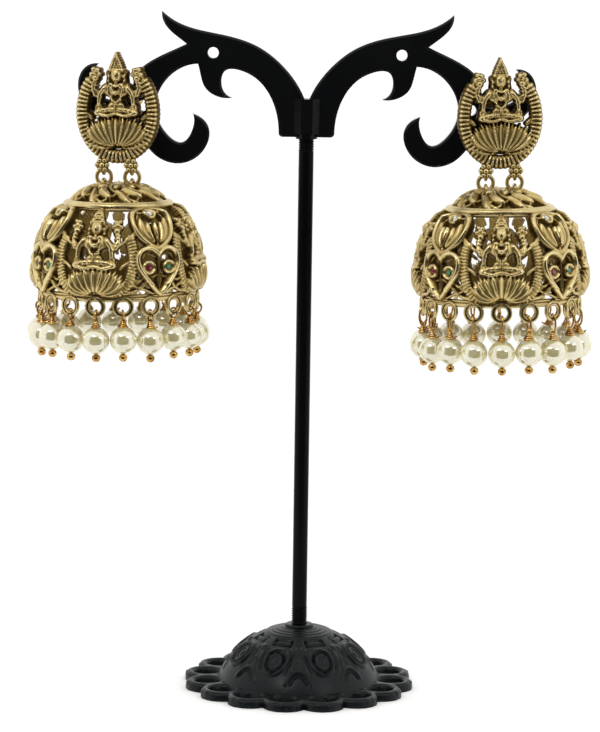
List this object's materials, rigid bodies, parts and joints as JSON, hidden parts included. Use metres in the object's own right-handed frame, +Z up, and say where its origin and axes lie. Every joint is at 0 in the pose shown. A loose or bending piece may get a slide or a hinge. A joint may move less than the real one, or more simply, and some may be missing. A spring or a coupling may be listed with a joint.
{
  "type": "pair of jhumka earrings on a display stand",
  "caption": "Pair of pierced bell-shaped drop earrings fringed with pearls, hooked on a black two-armed display stand with a round scalloped foot.",
  "frame": {"origin": "on the surface it stands on, under the middle of the foot", "axes": "+Z up along the post, -Y towards the viewer, +X to the right along the arms"},
  "size_m": [0.1125, 0.046, 0.1363],
  "materials": {
    "base_plastic": "satin moulded black plastic",
    "post_plastic": "gloss black",
    "arm_plastic": "gloss moulded black plastic",
    "antique_gold": "antiqued matt gold plating, dark in the recesses",
    "clutch_metal": "plain polished",
    "pin_gold": "bright coppery gold wire",
    "pearl_coating": "lustrous cream imitation pearl",
    "ruby_glass": "cut glass stone",
    "green_glass": "cut glass stone",
    "clear_glass": "cut glass stone"
  },
  "bodies": {
    "stand": {"stand_base": "base_plastic", "stand_post": "post_plastic", "stand_arms": "arm_plastic", "left_stud": "antique_gold", "left_clutch": "clutch_metal", "right_stud": "antique_gold", "right_clutch": "clutch_metal"},
    "left_drop": {"left_link_1": "antique_gold", "left_link_2": "antique_gold", "left_bell": "antique_gold", "left_ruby_stones": "ruby_glass", "left_green_stones": "green_glass", "left_clear_stones": "clear_glass", "left_pearl_01": "pearl_coating", "left_pearl_02": "pearl_coating", "left_pearl_03": "pearl_coating", "left_pearl_04": "pearl_coating", "left_pearl_05": "pearl_coating", "left_pearl_06": "pearl_coating", "left_pearl_07": "pearl_coating", "left_pearl_08": "pearl_coating", "left_pearl_09": "pearl_coating", "left_pearl_10": "pearl_coating", "left_pearl_11": "pearl_coating", "left_pearl_12": "pearl_coating", "left_pearl_13": "pearl_coating", "left_pearl_14": "pearl_coating", "left_pearl_15": "pearl_coating", "left_pearl_16": "pearl_coating", "left_pearl_17": "pearl_coating", "left_pearl_18": "pearl_coating", "left_pearl_pins": "pin_gold"},
    "right_drop": {"right_link_1": "antique_gold", "right_link_2": "antique_gold", "right_bell": "antique_gold", "right_ruby_stones": "ruby_glass", "right_green_stones": "green_glass", "right_clear_stones": "clear_glass", "right_pearl_01": "pearl_coating", "right_pearl_02": "pearl_coating", "right_pearl_03": "pearl_coating", "right_pearl_04": "pearl_coating", "right_pearl_05": "pearl_coating", "right_pearl_06": "pearl_coating", "right_pearl_07": "pearl_coating", "right_pearl_08": "pearl_coating", "right_pearl_09": "pearl_coating", "right_pearl_10": "pearl_coating", "right_pearl_11": "pearl_coating", "right_pearl_12": "pearl_coating", "right_pearl_13": "pearl_coating", "right_pearl_14": "pearl_coating", "right_pearl_15": "pearl_coating", "right_pearl_16": "pearl_coating", "right_pearl_17": "pearl_coating", "right_pearl_18": "pearl_coating", "right_pearl_pins": "pin_gold"}
  },
  "joints": [
    {"name": "left_drop_swing", "type": "hinge", "parent": "stand", "child": "left_drop", "pos_m": [-0.03718, -0.0049, 0.1051], "axis": [0.9743, -0.2249, 0.0105], "range_deg": [-40, 28]},
    {"name": "right_drop_swing", "type": "hinge", "parent": "stand", "child": "right_drop", "pos_m": [0.03845, -0.00495, 0.10511], "axis": [0.9959, 0.0871, 0.0262], "range_deg": [-40, 28]}
  ]
}
